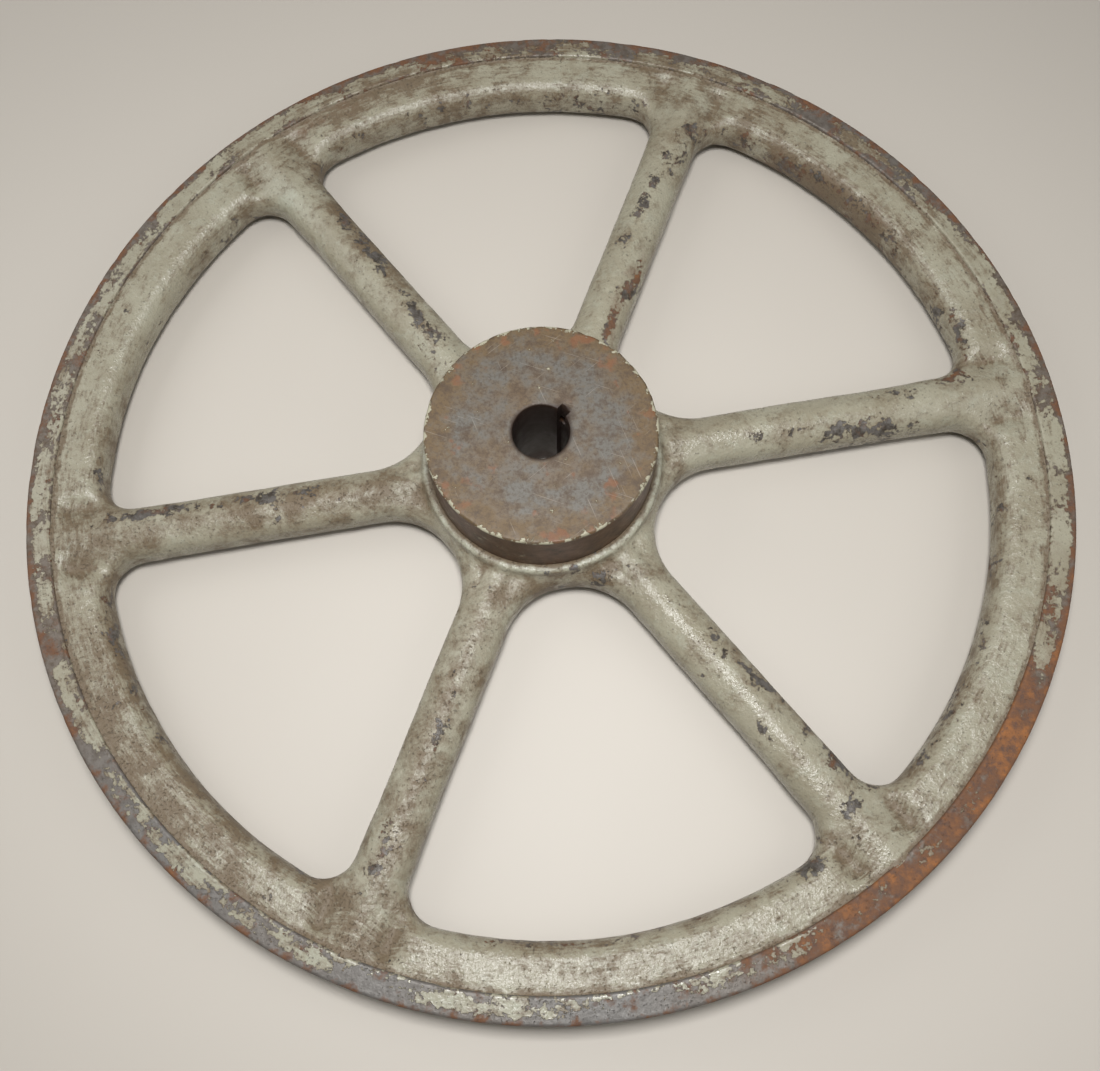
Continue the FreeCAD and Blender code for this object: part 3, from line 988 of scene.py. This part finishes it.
class Finish:
    """A node-built material, with one way of adding a node."""

    def __init__(self, name: str) -> None:
        """Start an empty material.

        Args:
            name: the material's name.
        """
        self.body = bpy.data.materials.new(name)
        self.body.use_nodes = True
        self.tree = self.body.node_tree
        self.tree.nodes.clear()

    def add(self, kind: str, inputs: dict, output: int = 0, **settings: object) -> Socket:
        """Add a node.

        Args:
            kind: the node's type without its Shader prefix.
            inputs: socket name or number to a value, or to a socket to link from.
            output: which output to hand back.
            settings: the node's own properties.

        Returns:
            The chosen output socket.
        """
        node = self.tree.nodes.new("ShaderNode" + kind)
        for key, value in settings.items():
            setattr(node, key, value)
        for key, value in inputs.items():
            if isinstance(value, Socket):
                self.tree.links.new(value, node.inputs[key])
            else:
                node.inputs[key].default_value = value
        return node.outputs[output]

    def patterns(self, kinds: dict[str, Pattern]) -> Sockets:
        """Lay out the place on the object in millimetres and the noise patterns on it.

        Args:
            kinds: the patterns by name.

        Returns:
            A socket for each, with "mm" for the place itself.
        """
        place = self.add("TexCoord", {}, output=3)
        seen = {"mm": self.add("VectorMath", {0: place, "Scale": 1 / MM}, operation="SCALE")}
        for name, kind in kinds.items():
            seen[name] = self.add("TexNoise", {
                "Vector": seen["mm"], "Scale": 1 / kind.size, "Detail": kind.detail,
                "Roughness": kind.rough, "Distortion": kind.swirl})
        return seen

    def finish(self, colour: object, roughness: object, metallic: object,
               height: object, depth_mm: float = 1.0) -> bpy.types.Material:
        """Join colour, gloss and relief into the surface.

        Args:
            colour: colour socket.
            roughness: roughness socket or number.
            metallic: metallic socket or number.
            height: relief in millimetres.
            depth_mm: scale on that relief.

        Returns:
            The finished material.
        """
        normal = self.add("Bump", {"Height": height, "Distance": depth_mm * MM, "Strength": 1.0})
        surface = self.add("BsdfPrincipled", {
            "Base Color": colour, "Roughness": roughness, "Metallic": metallic, "Normal": normal})
        sink = self.tree.nodes.new("ShaderNodeOutputMaterial")
        self.tree.links.new(surface, sink.inputs["Surface"])
        return self.body


ENAMEL_PATTERNS = {
    "broad": Pattern(60, 3),              # stretches that saw more knocks
    "crumb": Pattern(2.4, 3),             # crumbling edges of the chips
    "drift": Pattern(24, 5, 0.6),         # uneven brushing
    "cloud": Pattern(12, 9, 0.72),        # thicker, paler paint
    "film": Pattern(17, 12, 0.80, 0.2),   # brown film of old oil
    "pit": Pattern(1.6, 5, 0.7),          # pits of the casting that hold dirt
    "tone": Pattern(5, 5, 0.65),          # light and dark in bare iron
    "bloom": Pattern(12, 6, 0.68),        # rust
    "scab": Pattern(4.5, 8, 0.75),        # dark scabs in the rust
    "grain": Pattern(3.2, 4, 0.6),        # the sand-cast skin
    "sand": Pattern(1.1, 2),              # grains of sand, drawn coarse enough to show
}


@dataclass(frozen=True)
class MachineEnamel:
    """Grey-green machine enamel, brushed on cast iron and chipped through to it.

    The enamel gives a soft gloss over the sand-cast skin. Where it is lost the iron shows
    blue-grey with brown rust, and dirt sits in the pits.
    """

    name: str = "machine_enamel_on_cast_iron"
    paint: str = "#989482"
    paint_pale: str = "#AAAC9C"
    paint_dull: str = "#88816E"
    stain: str = "#5B4730"
    iron: str = "#66625E"
    iron_dark: str = "#413A32"
    iron_blue: str = "#6A6D6E"
    rust: str = "#664934"
    rust_bright: str = "#A0652E"
    scab: str = "#4F3D35"
    dirt: str = "#40362B"
    chip_mm: float = 11.0
    cast: float = 1.0
    stretch: float = 0.0
    rim_radius: float = 297.0

    def material(self) -> bpy.types.Material:
        """Build the node tree.

        Returns:
            The material.
        """
        f = Finish(self.name)
        seen = f.patterns(ENAMEL_PATTERNS)
        for kind in Mark:
            seen[kind.value] = f.add("Attribute", {}, output=2, attribute_name=kind.value)
        self.wear(f, seen)
        metal = self.metal(f, seen)
        colour = f.add("Mix", {0: seen["bare"], 6: self.enamel(f, seen), 7: metal}, **BLEND)
        # gloss: soft on enamel, duller in the dirt, duller still on rust
        gloss = f.add("MapRange", {0: seen["film"], 3: 0.27, 4: 0.54})
        dull = f.add("MapRange", {0: seen["rusted"], 3: 0.50, 4: 0.74})
        gloss = f.add("Mix", {0: seen["bare"], 2: gloss, 3: dull})
        shine = f.add("MapRange", {0: seen["rusted"], 3: 0.28, 4: 0.04})
        metallic = f.add("Math", {0: seen["bare"], 1: shine}, operation="MULTIPLY")
        # relief in millimetres: sand-cast skin, sunken chips and pits, brush ripple
        relief = 0.0
        for name, depth in (("grain", 0.75 * self.cast), ("sand", 0.16 * self.cast),
                            ("bare", -0.30), ("pit", -0.16), ("drift", 0.9 * self.cast)):
            relief = f.add("Math", {0: seen[name], 1: depth, 2: relief}, **ADD_SHARE)
        return f.finish(colour, gloss, metallic, relief)

    def wear(self, f: Finish, seen: Sockets) -> None:
        """Find where the paint is gone: where chips, crumbs and the wear marks add up.

        Args:
            f: the finish being built.
            seen: patterns and marks; gains radius, round_rim, bare and halo.
        """
        # the same place measured round the wheel, drawn out along the rim
        flat = f.add("VectorMath", {0: seen["mm"], 1: (1.0, 1.0, 0.0)}, operation="MULTIPLY")
        seen["radius"] = f.add("VectorMath", {0: flat}, output=1, operation="LENGTH")
        height = f.add("SeparateXYZ", {0: seen["mm"]}, output=2)
        away = f.add("Math", {0: seen["radius"], 1: height}, operation="ADD")
        heading = f.add("VectorMath", {0: flat}, operation="NORMALIZE")
        heading = f.add("VectorMath", {0: heading, "Scale": self.rim_radius / max(self.stretch, 1.0)},
                        operation="SCALE")
        seen["round_rim"] = f.add("VectorMath", {0: heading, 1: f.add("CombineXYZ", {2: away})},
                                  operation="ADD")
        chip = f.add("TexNoise", {
            "Vector": seen["round_rim" if self.stretch else "mm"], "Scale": 1 / self.chip_mm,
            "Detail": 7.0, "Roughness": 0.62, "Distortion": 0.35})
        worn = seen["paint_loss"]
        for pattern, share in ((chip, 0.55), (seen["crumb"], 0.25), (seen["broad"], 0.20)):
            worn = f.add("Math", {0: pattern, 1: share, 2: worn}, **ADD_SHARE)
        for name, low, high in (("bare", 0.628, 0.640), ("halo", 0.585, 0.632)):
            seen[name] = f.add("MapRange", {0: worn, 1: low, 2: high}, interpolation_type="SMOOTHSTEP")

    def metal(self, f: Finish, seen: Sockets) -> Socket:
        """Colour the bare iron and its rust.

        Args:
            f: the finish being built.
            seen: patterns and marks; bloom gains the rust marks, and rusted is added.

        Returns:
            The colour.
        """
        dark = f.add("MapRange", {0: seen["tone"], 1: 0.42, 2: 0.62})
        blue = f.add("Math", {0: seen["pale"], 1: 1.2}, operation="MULTIPLY", use_clamp=True)
        iron = linear(self.iron)
        for share, tint in ((dark, self.iron_dark), (blue, self.iron_blue)):
            iron = f.add("Mix", {0: share, 6: iron, 7: linear(tint)}, **BLEND)
        seen["bloom"] = f.add("Math", {0: seen["rust"], 1: 0.75, 2: seen["bloom"]}, **ADD_SHARE)
        seen["rusted"] = f.add("MapRange", {0: seen["bloom"], 1: 0.54, 2: 0.66})
        orange = f.add("MapRange", {0: seen["bloom"], 1: 0.70, 2: 0.92, 4: 0.8})
        scabby = f.add("MapRange", {0: seen["scab"], 1: 0.49, 2: 0.62, 4: 0.8})
        rusty = linear(self.rust)
        for share, tint in ((orange, self.rust_bright), (scabby, self.scab)):
            rusty = f.add("Mix", {0: share, 6: rusty, 7: linear(tint)}, **BLEND)
        return f.add("Mix", {0: seen["rusted"], 6: iron, 7: rusty}, **BLEND)

    def enamel(self, f: Finish, seen: Sockets) -> Socket:
        """Colour the paint: pale to dull, with a brown film, dirt in its pits and rust bleeding in.

        Args:
            f: the finish being built.
            seen: patterns and marks; film and pit are narrowed to where they show.

        Returns:
            The colour.
        """
        dull = f.add("MapRange", {0: seen["drift"], 1: 0.38, 2: 0.64})
        cloud = f.add("MapRange", {0: seen["cloud"], 1: 0.52, 2: 0.62})
        paler = f.add("Math", {0: cloud, 1: 0.40, 2: seen["pale"]}, use_clamp=True, **ADD_SHARE)
        # the film gathers in the grime, which includes painted shade in places, and is swept along the
        # rim
        film = f.add("Math", {0: seen["grime"], 1: 0.28, 2: seen["film"]}, **ADD_SHARE)
        swept = f.add("VectorMath", {0: seen["round_rim"], 1: (0.10, 0.10, 0.55)},
                      operation="MULTIPLY")
        streak = f.add("TexNoise", {"Vector": swept, "Scale": 1.0, "Detail": 5.0, "Roughness": 0.6})
        streak = f.add("Math", {0: streak, 1: 0.5}, operation="SUBTRACT")
        on_rim = f.add("MapRange", {0: seen["radius"], 1: 262.0, 2: 270.0, 3: 0.0, 4: 0.44})
        film = f.add("Math", {0: streak, 1: on_rim, 2: film}, **ADD_SHARE)
        seen["film"] = f.add("MapRange", {0: film, 1: 0.505, 2: 0.665})
        # pits hold dirt, more of it where the film is thick
        pit = f.add("Math", {0: seen["film"], 1: 0.05, 2: seen["pit"]}, **ADD_SHARE)
        seen["pit"] = f.add("MapRange", {0: pit, 1: 0.60, 2: 0.69}, interpolation_type="SMOOTHSTEP")
        bleed = f.add("MapRange", {0: seen["bloom"], 1: 0.62, 2: 0.80})
        paint = linear(self.paint)
        for share, most, tint in (
                (dull, 1.0, self.paint_dull), (paler, 1.0, self.paint_pale),
                (seen["film"], 0.78, self.stain), (seen["halo"], 0.40, self.stain),
                (seen["pit"], 0.56, self.dirt), (bleed, 0.50, self.rust)):
            share = f.add("Math", {0: share, 1: most}, operation="MULTIPLY")
            paint = f.add("Mix", {0: share, 6: paint, 7: linear(tint)}, **BLEND)
        return paint


TURNED_PATTERNS = {
    "blotch": Pattern(22, 5, 0.62),    # steel grey and brown by turns
    "mottle": Pattern(7, 6, 0.7),      # patches of patina
    "fine": Pattern(1.8, 4, 0.6),      # specks
    "smear": Pattern(11, 10, 0.76),    # smears of old oil
}


@dataclass(frozen=True)
class TurnedIron:
    """Grey cast iron, faced in a lathe and left bare: a brown oiled patina over steel grey.

    Fine rings from the tool catch the light, with rust spots and a ragged lip of paint at the edge.
    """

    barrel: HubBarrel
    grey: str = "#665644"
    blue: str = "#65625C"
    brown: str = "#46382C"
    ochre: str = "#625037"
    rust: str = "#7A4B2D"
    # dark brown base of the side wall: painted shade
    side: str = "#593A20"
    # near-black: old grease at the mouth and keyway, and the colour all down the bore
    grease: str = "#2B1D15"
    paint: str = "#A19D88"
    scratch: str = "#A39C92"

    def material(self) -> bpy.types.Material:
        """Build the node tree.

        Returns:
            The material.
        """
        f = Finish("turned_iron_with_patina")
        seen = f.patterns(TURNED_PATTERNS)
        flat = f.add("VectorMath", {0: seen["mm"], 1: (1.0, 1.0, 0.0)}, operation="MULTIPLY")
        seen["radius"] = f.add("VectorMath", {0: flat}, output=1, operation="LENGTH")
        seen["height"] = f.add("SeparateXYZ", {0: seen["mm"]}, output=2)
        face = self.face(f, seen)
        wall = self.wall(f, seen)
        colour = f.add("Mix", {0: seen["on_side"], 6: face, 7: wall}, **BLEND)
        colour = f.add("Mix", {0: self.near_black_bore_and_grease(f, seen), 6: colour, 7: linear(self.grease)}, **BLEND)
        rough = f.add("MapRange", {0: seen["mottle"], 1: 0.3, 2: 0.7, 3: 0.46, 4: 0.66})
        metallic = f.add("MapRange", {0: seen["browned"], 1: 0.7, 2: 1.0, 3: 0.25, 4: 0.06})
        metallic = f.add("Mix", {0: seen["on_side"], 2: metallic, 3: 0.05})
        # tool rings at about 0.8 mm, drawn as rings of noise so that no two are alike
        ring = f.add("CombineXYZ", {0: f.add("Math", {0: seen["radius"], 1: 1.2}, operation="MULTIPLY")})
        seen["ring"] = f.add("TexNoise", {"Vector": ring, "Scale": 1.0, "Detail": 2.0})
        relief = 0.0
        for name, depth in (("ring", 0.05), ("fine", 0.10), ("lip", 0.25), ("spot", 0.08)):
            relief = f.add("Math", {0: seen[name], 1: depth, 2: relief}, **ADD_SHARE)
        return f.finish(colour, rough, metallic, relief)

    def face(self, f: Finish, seen: Sockets) -> Socket:
        """Colour the faced ends.

        Args:
            f: the finish being built.
            seen: patterns and measures; gains browned, spot and lip.

        Returns:
            The colour.
        """
        greyed = f.add("MapRange", {0: seen["blotch"], 1: 0.45, 2: 0.66})
        # brown creeps in from the edge as a broad ring
        creep = f.add("MapRange", {0: seen["radius"], 1: 40.0, 2: 61.0, 3: 0.0, 4: 0.29},
                      interpolation_type="SMOOTHSTEP")
        brown = f.add("Math", {0: seen["mottle"], 1: creep}, operation="ADD")
        seen["browned"] = f.add("Math", {0: seen["blotch"], 1: 0.5, 2: brown}, **ADD_SHARE)
        ochre = f.add("MapRange", {0: seen["browned"], 1: 0.72, 2: 1.02})
        smeared = f.add("MapRange", {0: seen["smear"], 1: 0.50, 2: 0.64, 4: 0.8})
        speckled = f.add("MapRange", {0: seen["fine"], 1: 0.48, 2: 0.72, 4: 0.75})
        face = linear(self.blue)
        for share, tint in ((greyed, self.grey), (ochre, self.ochre), (smeared, self.brown),
                            (speckled, self.brown)):
            face = f.add("Mix", {0: share, 6: face, 7: linear(tint)}, **BLEND)
        face = self.scratched(f, seen["mm"], face)
        spot = f.add("TexNoise", {"Vector": seen["mm"], "Scale": 1 / 10, "Detail": 4.0, "W": 3.1},
                     noise_dimensions="4D")
        spot = f.add("Math", {0: creep, 1: 0.35, 2: spot}, **ADD_SHARE)
        seen["spot"] = f.add("MapRange", {0: spot, 1: 0.65, 2: 0.75, 4: 0.55},
                             interpolation_type="SMOOTHSTEP")
        # a ragged lip of old paint on the edge
        lip = f.add("MapRange", {0: seen["radius"], 1: 60.5, 2: 64.5, 3: 0.0, 4: 0.20})
        lip = f.add("Math", {0: seen["mottle"], 1: lip}, operation="ADD")
        lip = f.add("Math", {0: seen["fine"], 1: 0.25, 2: lip}, **ADD_SHARE)
        lip = f.add("MapRange", {0: lip, 1: 0.80, 2: 0.83}, interpolation_type="SMOOTHSTEP")
        top = self.barrel.length
        on_top = f.add("MapRange", {0: seen["height"], 1: top - 2.6, 2: top - 1.4})
        seen["lip"] = f.add("Math", {0: lip, 1: on_top}, operation="MULTIPLY")
        for share, tint in ((seen["spot"], self.rust), (seen["lip"], self.paint)):
            face = f.add("Mix", {0: share, 6: face, 7: linear(tint)}, **BLEND)
        return face

    def wall(self, f: Finish, seen: Sockets) -> Socket:
        """Colour the side wall: a dark brown painted shade, mottled with old oil, with a few remains of
        paint.

        Args:
            f: the finish being built.
            seen: patterns and measures; gains on_side.

        Returns:
            The colour.
        """
        oiled = f.add("MapRange", {0: seen["mottle"], 1: 0.40, 2: 0.66})
        remains = f.add("MapRange", {0: seen["smear"], 1: 0.57, 2: 0.64, 4: 0.5},
                        interpolation_type="SMOOTHSTEP")
        wall = linear(self.side)
        for share, tint in ((oiled, self.brown), (remains, self.paint)):
            wall = f.add("Mix", {0: share, 6: wall, 7: linear(tint)}, **BLEND)
        top = self.barrel.length
        under_top = f.add("MapRange", {0: seen["height"], 1: top - 0.9, 2: top - 2.4})
        over_back = f.add("MapRange", {0: seen["height"], 1: 0.4, 2: 1.4})
        seen["on_side"] = f.add("Math", {0: under_top, 1: over_back}, operation="MULTIPLY")
        return wall

    def near_black_bore_and_grease(self, f: Finish, seen: Sockets) -> Socket:
        """Find where the iron is near-black: all down the bore, with old grease caked at its mouth and
        in the keyway.

        Args:
            f: the finish being built.
            seen: patterns and measures.

        Returns:
            The share of grease, 0 to 1.
        """
        top = self.barrel.length
        in_bore = f.add("MapRange", {0: seen["radius"], 1: 19.9, 2: 19.6})
        near_top = f.add("MapRange", {0: seen["height"], 1: top - 0.1, 2: top - 0.6})
        in_bore = f.add("Math", {0: in_bore, 1: near_top}, operation="MULTIPLY")
        caked = f.add("Attribute", {}, output=2, attribute_name=Mark.GRIME_AND_SHADE.value)
        return f.add("Math", {0: in_bore, 1: caked}, operation="MAXIMUM")

    def scratched(self, f: Finish, mm: Socket, face: Socket) -> Socket:
        """Lay thin bright scratches across the face in three directions.

        Args:
            f: the finish being built.
            mm: position in millimetres.
            face: the colour so far.

        Returns:
            The colour with its scratches.
        """
        for turn, seed in ((0.5, 1.7), (1.35, 5.2), (2.6, 9.9)):
            turned_mm = f.add("VectorRotate", {0: mm, 3: turn}, rotation_type="Z_AXIS")
            drawn = f.add("VectorMath", {0: turned_mm, 1: (0.035, 1.5, 0.0)}, operation="MULTIPLY")
            line = f.add("TexNoise", {"Vector": drawn, "Scale": 1.0, "Detail": 1.0, "W": seed},
                         noise_dimensions="4D")
            line = f.add("MapRange", {0: line, 1: 0.715, 2: 0.745, 4: 0.36})
            face = f.add("Mix", {0: line, 6: face, 7: linear(self.scratch)}, **BLEND)
        return face


@dataclass(frozen=True)
class OxidisedSteel:
    """Cut steel bar, blackened and lightly rusted with age: dull dark metal with brown patches."""

    steel: str = "#55504B"
    rust: str = "#5A3F2C"

    def material(self) -> bpy.types.Material:
        """Build the node tree.

        Returns:
            The material.
        """
        f = Finish("oxidised_screw_steel")
        patch = f.patterns({"patch": Pattern(2.0, 5, 0.65)})["patch"]
        share = f.add("MapRange", {0: patch, 1: 0.45, 2: 0.62})
        colour = f.add("Mix", {0: share, 6: linear(self.steel), 7: linear(self.rust)}, **BLEND)
        rough = f.add("MapRange", {0: share, 3: 0.38, 4: 0.70})
        metallic = f.add("MapRange", {0: share, 3: 0.85, 4: 0.15})
        relief = f.add("Math", {0: patch, 1: 0.12}, operation="MULTIPLY")
        return f.finish(colour, rough, metallic, relief)


# --------------------------------------------------------------------------- small parts
@dataclass
class ScrewDressing:
    """The set screw keeps its CAD shape and gets its steel."""

    def build(self) -> bpy.types.Object:
        """Dress the screw.

        Returns:
            The CAD node itself.
        """
        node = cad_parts["set_screw"]
        node.data.materials.clear()
        node.data.materials.append(OxidisedSteel().material())
        return node


# --------------------------------------------------------------------------- studio
@dataclass
class Studio:
    """Pale floor, soft light and the camera."""

    floor: str = "#BDB7AE"
    floor_reach: float = 6.0
    floor_drop_mm: float = 0.4
    eye: tuple[float, float, float] = (-0.0301, -0.2328, 0.6179)
    turn_deg: tuple[float, float, float] = (17.847, 2.021, -9.121)
    lens_mm: float = 35.0
    slide: float = 0.028
    backdrop: str = "#EFECE6"
    backdrop_strength: float = 0.24

    def build(self) -> None:
        """Set up floor, lights and camera."""
        self.lay_floor()
        self.light("key_softbox", (-0.02, -0.12, 0.80), size=0.17, power=6.6)
        self.light("fill_left", (-0.9, 0.5, 0.9), size=0.9, power=4.2)
        self.light("fill_right", (1.0, -0.5, 1.0), size=0.9, power=3.4)
        world = bpy.data.worlds.new("studio")
        world.use_nodes = True
        air = world.node_tree.nodes["Background"]
        air.inputs["Color"].default_value = linear(self.backdrop)
        air.inputs["Strength"].default_value = self.backdrop_strength
        bpy.context.scene.world = world
        bpy.context.scene.view_settings.view_transform = "Standard"
        self.stand_camera()

    def lay_floor(self) -> None:
        """Lay a plain pale floor, a hair below the back face so that the two don't share a plane."""
        mesh = bpy.data.meshes.new("floor")
        reach, drop = self.floor_reach, -self.floor_drop_mm * MM
        corners = [(x * reach, y * reach, drop) for x, y in ((-1, -1), (1, -1), (1, 1), (-1, 1))]
        mesh.from_pydata(corners, [], [(0, 1, 2, 3)])
        floor = bpy.data.objects.new("floor", mesh)
        bpy.context.scene.collection.objects.link(floor)
        f = Finish("plain_floor")
        grain = f.add("TexNoise", {"Scale": 40.0, "Detail": 3.0})
        tint = f.add("MapRange", {0: grain, 3: 0.50, 4: 0.60})
        floor.data.materials.append(f.finish(linear(self.floor), tint, 0.0, grain, 0.02))

    def light(self, name: str, place: tuple[float, float, float], size: float, power: float) -> None:
        """Hang one square softbox, aimed at the hub.

        Args:
            name: the light's name.
            place: where it hangs, metres.
            size: its side, metres.
            power: its power, watts.
        """
        lamp = bpy.data.lights.new(name, "AREA")
        lamp.size, lamp.energy = size, power
        box = bpy.data.objects.new(name, lamp)
        box.location = place
        box.rotation_mode = "QUATERNION"
        box.rotation_quaternion = (Vector(place) - Vector((0, 0, 0.02))).to_track_quat("Z", "Y")
        bpy.context.scene.collection.objects.link(box)

    def stand_camera(self) -> None:
        """Stand the camera above the near side of the wheel, looking down at the hub."""
        data = bpy.data.cameras.new("camera")
        data.sensor_width, data.lens, data.shift_x = 36.0, self.lens_mm, self.slide
        data.clip_start, data.clip_end = 0.01, 30.0
        camera = bpy.data.objects.new("camera", data)
        camera.location = self.eye
        camera.rotation_euler = Euler([math.radians(a) for a in self.turn_deg])
        bpy.context.scene.collection.objects.link(camera)
        bpy.context.scene.camera = camera


def main() -> None:
    """Build the wheel piece by piece, then the studio."""
    logging.basicConfig(level=logging.INFO)
    for maker in (Casting(), RimBand(), HubBarrel(), ScrewDressing()):
        piece = maker.build()
        LOG.info("%s done: %s", type(maker).__name__, piece.name)
    Studio().build()


if __name__ == "__main__":
    main()
